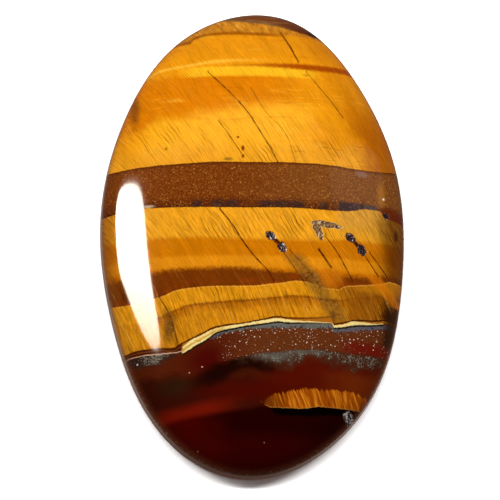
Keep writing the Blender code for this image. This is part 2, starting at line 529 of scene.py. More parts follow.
class Rock(Recipe):
    """The solid pattern's own coordinates, in millimetres, and the noises that its layers share."""

    def __init__(self, tree):
        super().__init__(tree)
        self.place = self.make("ShaderNodeTexCoord", {}, "Object")
        self.u, self.y, self.z = (
            self.make("ShaderNodeSeparateXYZ", {"Vector": self.place}, axis) * 1000 for axis in "XYZ"
        )
        self.v = self.y - self.z * BED_TILT
        bend = least(self.v - BEND_HEIGHT, 0.0)
        waver = self.cloud(0.35, seed=3) * 0.5
        self.fibre = self.u + self.v * FIBRE_SLANT - bend * FIBRE_BEND + waver
        self.ragged = self.cloud(2.5, seed=11) * 0.12 + self.cloud(8.0, seed=5) * 0.12
        self.lines = {}
        self.frayed = self.v + self.ragged
        self.pit = self.make("ShaderNodeAttribute", {}, "Fac", attribute_name="pit")

    def stretched(self, across, over_beds, deep, seed):
        """The place on the stone with so many units to the millimetre each way. The seed moves it."""
        inputs = {
            "Vector": self.place,
            "Location": (0.0, 0.0, seed * SEED_STEP),
            "Rotation": (-math.atan(BED_TILT), 0.0, 0.0),
            "Scale": tuple(MM / per_mm for per_mm in (across, over_beds, deep)),
        }
        return self.make("ShaderNodeMapping", inputs, vector_type="TEXTURE")

    def cloud(self, per_mm, seed=0, detail=2, roughness=0.5):
        """Noise that is alike in every direction."""
        return self.noise(self.stretched(per_mm, per_mm, per_mm, seed), detail, roughness)

    def fibres(self, per_mm, along=0.3, seed=0, detail=2, roughness=0.5):
        """Noise drawn out along the fibres."""
        place = self.stretched(along, along, along, seed)
        return self.noise(place, detail, roughness, fourth=self.fibre * per_mm)

    def streaks(self, per_mm, along=0.15, seed=0, detail=2):
        """Noise drawn out along the beds."""
        return self.noise(self.stretched(along, per_mm, along, seed), detail)

    def line(self, points):
        """The height of a bedding line, worked out once for all its uses."""
        if points not in self.lines:
            self.lines[points] = curve(self.u, points, -FAR, FAR)
        return self.lines[points]

    def above(self, line, ragged):
        """How far a place lies above a bedding line, where the line is this ragged."""
        height = self.frayed if ragged == 1 else self.v + self.ragged * ragged
        return height - (line if isinstance(line, Value) else self.line(line))

    def over(self, line, soft=0.1, ragged=1):
        """1 above a bedding line and 0 below it."""
        return rise(self.above(line, ragged), -soft / 2, soft / 2)

    def under(self, line, soft=0.1, ragged=1):
        return rise(self.above(line, ragged), soft / 2, -soft / 2)

    def stripe(self, line, thick, soft=0.1, ragged=1):
        """1 within half the thickness of a bedding line."""
        away = far(self.above(line, ragged))
        if isinstance(thick, Value):
            return rise(away - thick * 0.5, soft / 2, -soft / 2)
        return rise(away, (thick + soft) / 2, (thick - soft) / 2)

    def spot(self, u, v, wide, tall, soft=0.5, waver=0.0):
        """A soft-edged oval spot."""
        across = (self.u - u) * (2 / wide)
        along = (self.v - v) * (2 / tall)
        reach = self.math("SQRT", across * across + along * along)
        if waver:
            reach = reach + self.ragged * waver
        return rise(reach, 1 + soft, 1 - soft)

    def dots(self, per_mm, filled, size, seed=0):
        """Scattered dots: the share of the cells that have one, and its radius in cells."""
        distance, chance = self.cells(self.stretched(per_mm, per_mm, per_mm, seed))
        return rise(distance, size, size * 0.5) * rise(chance, 1 - filled - 0.01, 1 - filled)

    def speckle(self, per_mm, density, seed=0):
        """Irregular fine specks. Density is from 0 for none to 1 for nearly all."""
        cloud = self.cloud(per_mm, seed, detail=3, roughness=0.8)
        return rise(cloud + density * 0.3, 0.25, 0.34)

    def crack(self, points, width):
        """A thin line across the beds, through points given as (u, v)."""
        low, high = (end(v for _, v in points) for end in (min, max))
        path = curve(self.v, [(v, u) for u, v in points], low, high)
        away = far(self.u - path + self.ragged * 0.6)
        return rise(away, width, width * 0.3) * between(self.v, low, high, 0.35)


def upper_gold(rock):
    """Golden fibres from the stone's upper end down to the brown band."""
    u, v = rock.u, rock.v
    clouds = rock.cloud(0.45, seed=31, detail=3)
    # Partly painted sheen: the bright bed below the orange one, and the lit strip high up, are the
    # stone's paler gold with the light off its fibres painted into them.
    bright = rock.under(ORANGE_FOOT, soft=1.4, ragged=3)
    bright = bright * between(u + clouds * 4, -9.5, 3.5, 4.5)
    orange = rock.under(ORANGE_TOP, soft=0.9)
    orange = orange * rise(rock.frayed + clouds * 2.5 - rock.line(ORANGE_FOOT), -0.9, 0.9)
    warm = rock.streaks(1.4, along=0.22, seed=4)
    wisps = rise(rock.streaks(5.0, along=0.5, seed=27), 0.08, 0.22)
    right = between(u, 3.5, 11.5, 2.0)
    strip = rock.over(STRIP_EDGE, soft=0.3)
    mottle = rock.fibres(2.6, along=1.2, seed=23)
    ochre = paint((202, 128, 28), (158, 96, 24), rise(mottle, -0.04, 0.24))
    edge = rock.stripe(rock.line(STRIP_EDGE) - 0.1, 0.34, soft=0.5) * rise(u, 4.5, 1)
    yellow = rock.stripe(YELLOW_LINE, 0.3, soft=0.4) * rise(u, 3, -4)
    lit = between(v, 16.5, 17.2, 0.45) * between(u, -6, 5, 2.5)
    thick = rise(u, -4, 7) * 0.62 + 0.1
    dark = rock.stripe(DARK_STREAK, thick, soft=0.4, ragged=2) * rise(u, -6.5, -2)
    # Painted shade: the gold darkens to brown towards the right flank, where the dome turns away from the
    # light, more so lower down.
    shaded_flank = u + most(v - 8, 0.0) * 0.5 + clouds * 2 + rock.ragged * 3
    depth = rise(v, 16.5, 10.0) * 0.5 + 0.22
    return layered(
        (236, 150, 14),
        ((226, 142, 16), rise(v + clouds, 17.8, 20)),
        ((255, 176, 28), bright),
        ((238, 160, 30), rise(v + clouds * 1.5, 9.4, 7.6) * 0.8),
        ((220, 122, 2), orange * rise(u + clouds * 5, 10, -2) * 0.9),
        ((200, 100, 0), rise(warm, 0.05, 0.3) * rise(v, 9, 12) * 0.5),
        ((255, 194, 56), rise(warm, -0.1, -0.32) * 0.4),
        ((252, 182, 36), wisps * right * between(v, 13.2, 15.6, 0.5) * 0.6),
        ((168, 92, 4), wisps * right * between(v, 6.9, 8.9, 0.6) * 0.7),
        (paint(ochre, (232, 166, 62), rise(mottle, -0.06, -0.24)), strip),
        ((126, 56, 2), edge * 0.9),
        ((255, 188, 56), yellow * 0.9),
        ((255, 188, 30), lit * 0.9),
        ((162, 60, 0), dark * (rise(u, -4, 5) * 0.5 + 0.42)),
        ((154, 62, 0), rise(shaded_flank, 10.2, 13.2) * depth),
        ((104, 50, 16), rock.spot(-12.6, 13.2, 1.0, 3.2, soft=0.7, waver=6) * 0.7),
    )


def cap(rock):
    """A thin brown bed at the stone's upper end, streaked with grey along its lower side."""
    streaks = rock.streaks(3.0, along=0.5, seed=37)
    grey = rock.stripe(CAP_EDGE, 0.5, soft=0.5, ragged=2) * rise(rock.u, 5, 2)
    return layered(
        (112, 58, 22),
        ((92, 38, 16), rise(rock.u, 1, 6)),
        ((146, 100, 58), rise(streaks, 0.02, 0.2) * 0.6),
        ((26, 8, 4), rise(rock.u + streaks * 4, 5.2, 6.4)),
        ((134, 104, 62), grey * 0.6),
    )


def brown_band(rock, clouds):
    """Fine-grained brown ironstone with golden and dark specks in it."""
    u, v = rock.u, rock.v
    grain = rock.cloud(4.6, seed=21, detail=3, roughness=0.75)
    top = rock.stripe(BAND_TOP, 0.35, soft=0.5)
    return layered(
        (116, 52, 8),
        ((126, 72, 28), rise(u + clouds * 8, -6, 12)),
        ((84, 28, 4), rise(v + clouds * 1.4, 3.2, 2.2) * 0.75),
        ((206, 130, 48), rise(grain, 0.03, 0.26) * 0.75),
        ((62, 18, 4), rise(grain, -0.04, -0.24) * 0.75),
        ((214, 150, 72), rise(rock.cloud(8.0, seed=12), 0.12, 0.22) * 0.8),
        ((74, 18, 2), top * 0.8),
    )


def smudges(rock, colour):
    """Grey and blue-black smudges along the foot of the brown band."""
    u, v = rock.u, rock.v
    mottle = rock.cloud(3.0, seed=14, detail=3)
    smudge = paint((44, 32, 30), (96, 72, 58), rise(mottle, 0.0, 0.25))
    for place, wide in SMUDGES:
        spot = rock.spot(place, 2.15, wide, 0.85, soft=0.6, waver=7)
        colour = paint(colour, smudge, spot * 0.75)
    foot = rock.stripe(BAND_FOOT, 0.3, soft=0.4, ragged=3) * rise(mottle, -0.12, 0.06)
    bar = between(u + rock.ragged * 3, 8.9, 12.6, 0.35)
    bar = bar * between(v + rock.ragged * 2, 2.0, 2.6, 0.3)
    blue = paint((50, 36, 40), (98, 82, 74), rise(u + mottle * 12, 9.5, 14.5))
    red = rise(u, 12.9, 13.3) * rise(v, 3.2, 2.2)
    # Painted highlight: a small pale sliver on the band's foot at the left.
    highlight_sliver = rock.spot(-11.1, 2.15, 1.1, 0.3, soft=0.5, waver=4)
    return layered(
        colour,
        ((40, 18, 12), foot * 0.7),
        (blue, bar * 0.85),
        ((186, 118, 32), rock.spot(13.3, 4.0, 0.8, 2.6, soft=0.7) * 0.55),
        ((150, 112, 96), rock.spot(11.2, 6.0, 1.3, 0.6, soft=0.6, waver=4) * 0.6),
        ((104, 34, 10), red * 0.8),
        ((190, 164, 132), highlight_sliver),
    )


def middle_gold(rock, clouds):
    """Gold that darkens to orange and then brown, between the two brown bands."""
    u, v = rock.u, rock.v
    # Partly painted sheen: the bright gold above this foot is the stone's paler gold with the light off
    # its fibres painted into it.
    orange = rock.under(BRIGHT_FOOT, soft=0.6, ragged=3)
    dull = between(u + clouds * 2, 9.2, 13.6, 1.4) * rise(v, -1.5, 0.3)
    glow = between(v + rock.ragged * 2, -4.35, -3.6, 0.5)
    gap = rock.spot(7.5, -5.2, 2.6, 3.4, soft=0.6, waver=3)
    brown = rock.under(rock.line(BROWN_TOP) - 0.15, soft=0.7, ragged=5) * (1 - gap * 0.75)
    red = between(rock.frayed - rock.line(BROWN_FOOT), -0.2, 0.5, 0.5)
    red = red * rise(rock.streaks(1.5, along=0.6), -0.05, 0.2)
    left = rise(u + rock.ragged * 4, -13.6, -15.2)
    # Painted shade: the gold turns dark brown towards the right flank, where the dome turns away from the
    # light.
    rim = rise(u + rock.ragged * 3, 12.0, 14.6) * rise(v + rock.ragged * 4, -6.2, -4.6)
    return layered(
        (238, 160, 28),
        ((206, 118, 2), orange),
        ((212, 150, 46), dull * 0.8),
        ((230, 144, 18), glow * 0.8),
        ((118, 52, 3), brown),
        ((146, 56, 6), red * brown * 0.7),
        ((196, 104, 12), gap * rise(v, -4.0, -5.0) * 0.6),
        ((150, 78, 10), left * 0.6),
        ((92, 38, 2), rim * 0.85),
    )


def lower_gold(rock, clouds):
    """Two more beds of gold, each darker at its top than its foot."""
    u, v = rock.u, rock.v
    second = rock.line(SECOND_LINE)
    belt = rise(v - second, 0.15, 0.0) * rise(v - second + clouds * 0.8, -1.3, -0.2)
    # Painted shade: the gold turns near black towards the right flank, where the dome turns away from the
    # light.
    rim = rise(u - (v + 6.6) * 0.25 + rock.ragged * 5 + clouds, 13.2, 14.4)
    rim = rim * rise(v, -5.6, -7.6)
    return layered(
        (218, 142, 16),
        ((210, 134, 16), rock.under(second, soft=0.3)),
        ((176, 98, 6), belt * 0.8),
        ((118, 52, 4), rock.stripe(second, 0.16, soft=0.4, ragged=4) * 0.8),
        ((236, 156, 22), rise(u + clouds * 3, -10.5, -12.5) * 0.6),
        ((146, 82, 8), rise(u + clouds * 4, 6.5, 10.5) * 0.9),
        ((204, 128, 16), rise(v, -6.9, -6.3) * rise(u, 9, 12) * 0.6),
        ((62, 24, 6), rim * 0.9),
    )


def silky(rock, colour):
    """Lights and darks the gold along its fibres, and draws fine hatching between them."""
    u, v = rock.u, rock.v
    fine = rock.fibres(4.6, along=0.9, detail=3, roughness=0.7)
    broad = rock.fibres(1.5, along=0.3, seed=7)
    hatch = rock.fibres(5.2, along=0.28, seed=19)
    grain = rock.cloud(6.0, seed=17, detail=2, roughness=0.7)
    lower = rise(v, -6.0, -6.8)
    middle = between(v, -1.3, 1.8, 0.4)
    strength = lower * 1.1 + middle * 0.8 + 0.75
    colour = shade(colour, fine * strength + broad * 0.4 + grain * 0.35 + 1.0)
    upper = between(v, 6.4, 10.2, 2.2) * between(u + v * 0.6, -8.5, 13.0, 3.0)
    waver = rock.cloud(0.7, seed=29) * 3.2
    rows = rock.math("SINE", rock.fibre * 23.0 + waver * 2 + rock.ragged * 12)
    patches = rise(rock.cloud(0.5, seed=13, detail=3) + grain * 0.2, -0.1, 0.15)
    colour = shade(colour, rows * patches * 0.17 + 1.0)
    where = least(upper * 0.9 + middle * 0.9 + lower * 0.8 + 0.25, 1.0)
    combed = rock.math("SINE", rock.fibre * 13.0 + waver * 1.5 + rock.ragged * 2)
    groups = rise(rock.cloud(0.4, seed=53, detail=3) + fine * 0.5, 0.0, 0.2)
    return layered(
        colour,
        (shade(colour, 0.5), rise(hatch + grain * 0.15, 0.05, 0.2) * where * 0.8),
        ((104, 46, 2), rise(combed, 0.35, 1.0) * groups * where * 0.6),
        ((255, 200, 90), rise(hatch + grain * 0.3, -0.08, -0.24) * where * 0.35),
    )


def cracked(rock, colour):
    """Thin dark cracks, each fainter in some places than in others."""
    along = rock.cloud(1.6, seed=47) * 1.4 + 0.95
    for width, dark, path in CRACKS:
        colour = paint(colour, (72, 22, 0), rock.crack(path, width) * along * dark)
    return colour


def olive_dirt(rock, colour):
    """Grey-green dirt in the cracked ground below the first pit, and beside the left crack, with pale
    flecks painted on it as glints.
    """
    u, v = rock.u, rock.v
    mottle = rock.cloud(3.2, seed=41, detail=3, roughness=0.7)
    way = ((-3.2, 3.9), (-3.9, 4.35), (-5.25, 5.6), (-6.55, 6.45), (-8.25, 7.7), (-9.5, 8.4))
    path = curve(v, way, -9.5, -3.2)
    near = rise(far(u - path + rock.ragged * 6) + mottle * 1.6, 1.5, 0.4)
    near = near * between(v, -9.4, -3.6, 1.0)
    dirt = paint((136, 92, 30), (52, 32, 10), rise(mottle, -0.06, 0.16))
    left = rock.spot(-8.9, -10.7, 1.2, 2.8, soft=0.6, waver=4) + rock.spot(-9.2, -8.9, 0.9, 0.8) * 0.5
    brown = paint((124, 76, 26), (58, 36, 14), rise(mottle, -0.1, 0.12))
    # Painted glints: pale flecks on the dirt.
    glint_flecks = rock.speckle(3.4, 0.42, seed=43) * most(near, left)
    fault = rise(far(u - FAULT) + mottle * 0.5, 0.35, 0.05) * between(v, -10.6, -9.2, 0.6)
    return layered(
        colour,
        (dirt, near * 0.7),
        (brown, left * 0.8),
        ((216, 190, 130), glint_flecks * 0.6),
        ((84, 54, 20), fault * 0.6),
    )


def cream_lines(rock, colour):
    """The thin cream bed under the gold, broken by the fault, with dark lines on both its sides."""
    u = rock.u
    faded = rise(u, 3.0, 8.0) * rise(u, FAULT + 0.05, FAULT - 0.05)
    dark = rock.stripe(GOLD_FOOT, 0.16, soft=0.14) * rise(u, -9.8, -9)
    middle = (rock.line(CREAM_TOP) + rock.line(CREAM_FOOT)) * 0.5
    core = rock.stripe(middle, 0.26, soft=0.2, ragged=3) * rise(u + rock.ragged * 8, -2.6, -4.0)
    cream = paint((250, 228, 150), (206, 158, 60), core)
    cream = paint(cream, (255, 224, 150), faded * 0.9)
    tinted = rise(rock.cloud(3.0, seed=57, detail=3), 0.0, 0.14)
    cream = paint(cream, (240, 186, 76), tinted * 0.6)
    bed = rock.under(CREAM_TOP, soft=0.08) * rock.over(CREAM_FOOT, soft=0.08)
    bed = bed * between(u, -7.5, 13.4, 0.15)
    black = rock.stripe(rock.line(CREAM_FOOT) - 0.06, 0.2, soft=0.14) * between(u, -7.4, 13.4, 0.2)
    return layered(
        colour,
        ((176, 104, 22), rock.under(GOLD_FOOT) * rock.over(CREAM_TOP)),
        ((52, 12, 2), dark * (1 - faded * 0.5)),
        (cream, bed),
        ((24, 16, 8), black * (1 - faded * 0.6)),
    )


def grey_bed(rock):
    """Hematite: grey, with black teeth and white specks along its foot."""
    u = rock.u
    mottle = rock.cloud(5.0, seed=51, detail=3, roughness=0.7)
    colour = layered(
        (98, 90, 90),
        ((112, 110, 102), rise(u, -4.5, -1)),
        ((90, 88, 104), rise(u, FAULT - 0.05, FAULT + 0.05) * 0.6),
    )
    colour = shade(colour, mottle * 1.3 + 1.0)
    teeth = rock.stripe(GREY_FOOT, 0.7, soft=0.4, ragged=3) * rise(mottle, 0.0, 0.08)
    return paint(colour, (24, 18, 20), teeth * 0.9)


def red_jasper(rock):
    """Red-brown jasper under the hematite, thick with pale and orange specks."""
    u, v = rock.u, rock.v
    red = rise(u, 7.8, 10.5) * rise(v, -11.2, -12.3)
    grain = rock.cloud(4.5, seed=61, detail=3, roughness=0.75)
    colour = layered(
        (88, 32, 12),
        ((100, 48, 18), rise(u, -4, 1)),
        ((108, 16, 8), red * 0.85),
    )
    colour = shade(colour, grain * 1.3 + 1.0)
    return layered(
        colour,
        ((186, 84, 30), rock.dots(2.9, 0.4, 0.18, seed=1) * 0.65),
        ((214, 176, 150), rise(rock.cloud(7.0, seed=67), 0.19, 0.25) * 0.7),
        ((232, 204, 184), rock.dots(4.4, 0.3, 0.24, seed=5) * 0.8),
        ((246, 222, 204), rock.dots(2.4, 0.5, 0.2, seed=7) * 0.9),
    )


def dark_end(rock):
    """Dark red and black jasper, with the smoky streaks of the stone's lower end."""
    u, v = rock.u, rock.v
    smoke = rock.cloud(0.55, seed=71, detail=3)
    right = rise(u + smoke * 3, -1.5, 3.5) * rise(v, -13.3, -14.3)
    glow = rise(u + smoke * 3, 5.0, 11.0) * rise(v + smoke, -14.2, -15.6)
    lower_red = rock.spot(-1.5, -17.2, 9.0, 1.8, soft=0.8)
    black = rise(far(v + smoke * 1.6 - rock.line(SMEAR)), 1.4, 0.2)
    black = black * between(u, -4.5, 0.8, 3.0)
    edge = rock.line(RED_FOOT)
    streak = rise(v + smoke * 0.6 - edge, 1.7, 0.4) * rise(u + smoke * 3, 0.0, -5)
    foot = rise(v + smoke * 0.4 - edge, 0.3, -0.5)
    bottom = paint((34, 1, 0), (54, 2, 1), rise(v, -20.6, -22.6))
    bottom = paint(bottom, (70, 3, 1), rise(u + v * 0.3 + smoke * 3, -8.0, -13.0))
    return layered(
        (84, 28, 6),
        ((56, 14, 4), rise(v + smoke * 2, -14.8, -16.4)),
        ((44, 26, 8), rock.spot(-8.0, -16.7, 3.6, 1.6, soft=0.7) * 0.8),
        ((74, 7, 3), rock.spot(-4.6, -14.2, 4.6, 3.0, soft=0.7)),
        ((84, 14, 2), right),
        ((112, 40, 8), glow * 0.9),
        ((76, 8, 1), lower_red * 0.9),
        ((24, 4, 1), black * 0.95),
        ((116, 20, 4), streak * rise(u, -12.0, -9.0)),
        (bottom, foot),
        ((96, 40, 12), rise(u + v * 0.4, -18.2, -19.4) * 0.6),
    )


def second_grey(rock, colour):
    """A bed of grey specks in the jasper, and the grey patch at the left end of the thin line."""
    u = rock.u
    cloudy = rock.cloud(1.1, seed=81, detail=3)
    top = rock.line(SECOND_GREY_TOP)
    foot = rock.line(SECOND_GREY_FOOT)
    bed = rock.under(top, soft=0.3, ragged=4) * rise(rock.frayed - foot + cloudy * 2, -0.7, 0.8)
    bed = bed * between(u, -1.6, 13.2, 0.9)
    dense = bed * (cloudy * 0.8 + 0.7)
    solid = rock.spot(1.8, -13.75, 3.6, 0.9, soft=0.8, waver=5)
    solid = solid + rock.spot(5.2, -13.2, 3.6, 0.5, soft=0.8, waver=5)
    patch = rock.under(LEFT_LINE)
    patch = patch * rise(rock.frayed - rock.line(LEFT_GREY_FOOT) + cloudy, -0.35, 0.4)
    patch = patch * rise(u, -7.0, -8.6)
    bright = rise(far(u + 10.4), 2.2, 0.3) * 0.5 + 0.45
    end = rock.spot(-12.2, -17.5, 0.9, 2.2, soft=0.6, waver=4)
    return layered(
        colour,
        ((66, 44, 26), bed * 0.75),
        ((138, 134, 122), rock.speckle(5.5, dense, seed=83) * bed),
        ((106, 104, 94), bed * least(solid, 1.0) * 0.5),
        ((46, 34, 26), patch * 0.85),
        ((140, 130, 114), rock.speckle(5.5, patch * bright, seed=87) * patch),
        ((124, 112, 98), rock.speckle(4.5, end * 0.9, seed=89) * end),
    )


def left_lines(rock, colour):
    """A dark bed with a thin pink-white line under it, left of the cream bed."""
    left = rise(rock.u, -7.4, -7.7)
    dark = rock.under(GOLD_FOOT) * rock.over(LEFT_LINE) * left
    golden = rock.stripe(rock.line(GOLD_FOOT) - 0.26, 0.05, soft=0.12) * left
    pale = rock.stripe(LEFT_LINE, 0.06, soft=0.1) * left
    return layered(
        colour,
        ((80, 28, 5), dark),
        ((158, 92, 30), golden * 0.6),
        ((246, 196, 160), pale),
    )


def lens(rock, colour):
    """A lens of brown-gold fibres in the dark end, over a black streak."""
    u = rock.u
    fibres = rock.fibres(4.4, along=0.5, seed=91)
    gold = paint((158, 72, 2), (222, 132, 26), rise(fibres, -0.08, 0.2))
    gold = paint(gold, (100, 34, 0), rise(fibres, -0.1, -0.24) * 0.7)
    gold = paint(gold, (96, 40, 4), rise(u + fibres * 4, 4.0, 1.4) * 0.7)
    reach = between(u + fibres * 1.5, 1.4, 11.6, 0.8)
    top = rock.line(LENS_TOP) + fibres * 0.9 - 0.1
    bed = rock.under(top, soft=0.2, ragged=2) * rock.over(LENS_FOOT) * reach
    black = rock.under(LENS_FOOT, soft=0.15)
    black = black * rock.over(BLACK_FOOT, soft=0.4, ragged=2)
    foot = rock.stripe(LENS_FOOT, 0.06, soft=0.1) * reach
    return layered(
        colour,
        ((5, 1, 0), black * between(u, 2.0, 10.6, 0.6)),
        (gold, bed),
        ((206, 138, 56), foot * 0.7),
    )


def marks(rock, colour):
    """Single specks and stains."""
    for u, v, wide, tall, look, cover in (
        (-1.88, 9.33, 0.3, 0.25, (120, 40, 4), 0.9),
        (-1.36, 8.13, 0.35, 0.6, (110, 30, 4), 0.9),
        (-1.36, 7.27, 0.3, 0.45, (120, 36, 4), 0.9),
        (-9.34, 8.3, 0.3, 0.3, (150, 96, 20), 0.9),
        (-2.9, 6.95, 0.9, 0.35, (110, 84, 20), 0.7),
        (5.4, 16.6, 0.8, 0.3, (190, 120, 20), 0.6),
        (13.56, 3.66, 0.22, 0.22, (255, 244, 220), 1.0),
        (14.9, -0.1, 0.5, 1.2, (60, 26, 14), 0.8),
        (-12.1, -13.95, 0.16, 0.16, (236, 230, 220), 0.9),
        (-6.8, -15.33, 0.13, 0.13, (220, 170, 150), 0.8),
        (-5.5, -14.8, 0.15, 0.13, (230, 190, 180), 0.9),
        (0.96, -22.25, 0.13, 0.13, (140, 120, 110), 0.8),
        (-5.8, -22.85, 0.13, 0.13, (150, 120, 100), 0.8),
    ):
        colour = paint(colour, look, rock.spot(u, v, wide, tall, waver=1) * cover)
    return colour


def pitted(rock, colour):
    """Dirt in the pits: nearly black with painted pale glints, but grey-brown in the wide one."""
    u, v = rock.u, rock.v
    glints = rock.cloud(3.6, seed=101, detail=3)
    # Painted highlights: the pale glints in the dark pits.
    dark = paint((40, 28, 36), (214, 196, 184), rise(glints, 0.1, 0.18))
    dark = paint(dark, (104, 54, 22), rise(glints, -0.08, -0.18))
    wide = between(u, 5.7, 9.1, 0.2) * between(v, -1.3, 0.9, 0.2)
    pale = paint((124, 90, 54), (216, 186, 144), rise(glints, 0.05, 0.14))
    pale = paint(pale, (62, 40, 26), rise(glints, -0.06, -0.14))
    dirt = paint(dark, pale, wide)
    chip = paint((62, 52, 52), (214, 208, 204), rise(glints, -0.04, 0.08))
    dirt = paint(dirt, chip, rise(v, -17.5, -17.8))
    ragged_pit = rock.pit + rock.ragged * 8 * rise(rock.pit, 0.0, 0.06)
    lip = rise(ragged_pit, 0.02, 0.12) * rise(ragged_pit, 0.36, 0.22)
    rim = between(ragged_pit, 0.3, 0.5, 0.1) * wide
    return layered(
        colour,
        (paint((120, 70, 30), (226, 196, 146), wide), lip * 0.7),
        (dirt, rise(ragged_pit, 0.22, 0.42)),
        ((52, 32, 22), rim * 0.7),
    )


def stone_colour(rock):
    """All the beds of the stone from its upper end down, then what crosses them."""
    clouds = rock.cloud(0.45, seed=33, detail=3)
    lip = rock.stripe(rock.line(BROWN_FOOT) - 0.08, 0.1, soft=0.1)
    flare = rock.crack(((12.4, -4.9), (15.0, -7.4)), 1.2)
    colour = layered(
        upper_gold(rock),
        (middle_gold(rock, clouds), rise(rock.v, 4.1, 3.9)),
        (lower_gold(rock, clouds), rock.under(BROWN_FOOT)),
        ((240, 168, 66), lip * 0.5),
        ((226, 126, 10), flare * 0.65),
    )
    for lay in (silky, cracked, olive_dirt):
        colour = lay(rock, colour)
    band = rock.under(BAND_TOP) * rock.over(BAND_FOOT)
    dark = rock.under(CREAM_FOOT) * rise(rock.u, -7.75, -7.65)
    dark = most(dark, rock.under(LEFT_LINE) * rise(rock.u, -7.4, -7.5))
    ended = most(rock.under(SECOND_GREY_TOP, soft=0.6, ragged=3), rise(rock.u, -2.4, -4.4))
    teeth = rock.cloud(2.6, seed=53, detail=3)
    hematite = rise(rock.frayed - rock.line(GREY_FOOT) - teeth * 0.7, 0.0, 0.14)
    specks = rock.dots(3.4, 0.8, 0.25, seed=55) * rock.stripe(rock.line(GREY_FOOT) - 0.1, 0.35, soft=0.2)
    lower = layered(
        red_jasper(rock),
        (dark_end(rock), ended),
        (grey_bed(rock), hematite * rise(rock.u, -5.3, -4.0)),
        ((236, 228, 216), specks * rise(rock.u, -5.0, -3.0) * 0.9),
    )
    colour = layered(
        colour,
        (cap(rock), rock.over(CAP_EDGE, soft=0.2, ragged=2)),
        (smudges(rock, brown_band(rock, clouds)), band),
        (lower, dark),
    )
    for lay in (cream_lines, second_grey, left_lines, lens, marks):
        colour = lay(rock, colour)
    blob = rise(rock.u + rock.ragged * 6 + clouds, 12.9, 13.9)
    blob = blob * between(rock.v, -11.3, -8.6, 1.2)
    # Painted shade and reflection round the edge: the rim where the dome turns down and the side wall are
    # painted brown, and pale flecks near the lower end, for the shade there and the pale floor's
    # reflection.
    low_end = rise(rock.v, -11, -14)
    rim = rise(rock.z + rock.ragged * 2 - low_end * 0.2, 3.2, 2.1)
    rim_sheen_flecks = rock.speckle(4.5, rim * 0.75, seed=97) * rim * low_end * rise(rock.z, 1.7, 2.1)
    colour = layered(
        colour,
        ((52, 24, 6), blob * 0.9),
        ((130, 60, 26), rim * (low_end * 0.2 + 0.4)),
        ((166, 80, 38), rise(rock.z, *WALL_FADE) * (low_end * 0.35 + 0.3)),
        ((206, 176, 156), rim_sheen_flecks * 0.5),
    )
    return pitted(rock, colour)


def stone_material():
    """Polished quartz with the rock's pattern, less glossy on the wall, the back and in the pits."""
    material = bpy.data.materials.new("tigers_eye")
    material.use_nodes = True
    shader = material.node_tree.nodes["Principled BSDF"]
    rock = Rock(material.node_tree)
    rock.feed(shader.inputs["Base Color"], stone_colour(rock))
    wall = rise(rock.z, *WALL_FADE)
    back = rise(rock.z, *BACK_FADE)
    roughness = wall * ROUGHER_WALL + back * ROUGHER_BACK
    roughness = roughness + rise(rock.pit, 0.1, 0.3) * ROUGHER_PIT + POLISH_ROUGHNESS
    rock.feed(shader.inputs["Roughness"], roughness)
    shader.inputs["IOR"].default_value = QUARTZ_IOR
    return material


# ---------------------------------------------------------------- studio

FLOOR_HALF = 1.5
FLOOR_DROP = 0.02 * MM  # below the stone's back, so that the two don't flicker
FLOOR_GREY = 0.93

VIEW_DISTANCE = 292 * MM
VIEW_TILT_FRONT = 12.0
VIEW_TILT_LEFT = 3.5
VIEW_AIM = Vector((-0.33, -0.88, 2.0)) * MM
VIEW_WIDTH = 52.59 * MM  # what the picture's width shows at the aim
VIEW_NEAREST = 10 * MM
SENSOR = 36.0

# The window-like reflection, and the faint haze. Azimuth is from -X towards +Y, corners are across
# and up in the panel's own plane in mm, and a fade dims towards -Y: from, to, and what is left of it.
PANEL_DISTANCE = 350 * MM
PLAIN = (1.0, 1.0, 1.0)
KEY_PANEL = {
    "azimuth": 10.0,
    "elevation": 38.0,
    "corners": (
        (66, -146), (78, -60), (77, 30), (50, 70), (0, 88), (-70, 98), (-100, 50), (-90, 0),
        (-52, -90), (-44, -124), (0, -127),
    ),
    "strength": 30.0,
    "fade": (-46 * MM, 28 * MM, 0.4),
    "tint": (1.0, 0.97, 0.84),
}
HAZE_PANEL = {
    "azimuth": 172.0,
    "elevation": 45.0,
    "corners": ((-120, 90), (-156, -200), (-110, -200), (-38, -112), (-46, 20), (-62, 110)),
    "strength": 0.22,
}

# The soft lights' places and sizes in metres, and their power in watts.
TOP_LIGHT = ((0.0, 0.28, 0.60), (1.0, 0.12), 11.5)
LEFT_LIGHT = ((-0.40, 0.16, 0.45), (0.2, 0.2), 0.8)

# What each kind of ray sees round the stone: a tint, and how bright by the sine of the height.
REFLECTED_SKY = ((1.0, 0.80, 0.66), (
    (-1, 0.2), (-0.97, 0.35), (-0.9, 0.4), (-0.8, 0.3), (-0.4, 0.12), (0, 0.05), (0.3, 0.015), (1, 0.01),
))
OTHER_SKIES = (
    ("Is Diffuse Ray", (1.0, 0.84, 0.8), ((-1, 0.9), (-0.05, 0.6), (0.05, 0.2), (1, 0.2))),
    ("Is Camera Ray", PLAIN, ((-1, 1.0), (1, 1.0))),
)
FRONT_SHADE = (-0.28, 0.0, 0.35)  # the reflected floor dims towards -Y: from, to, and what is left


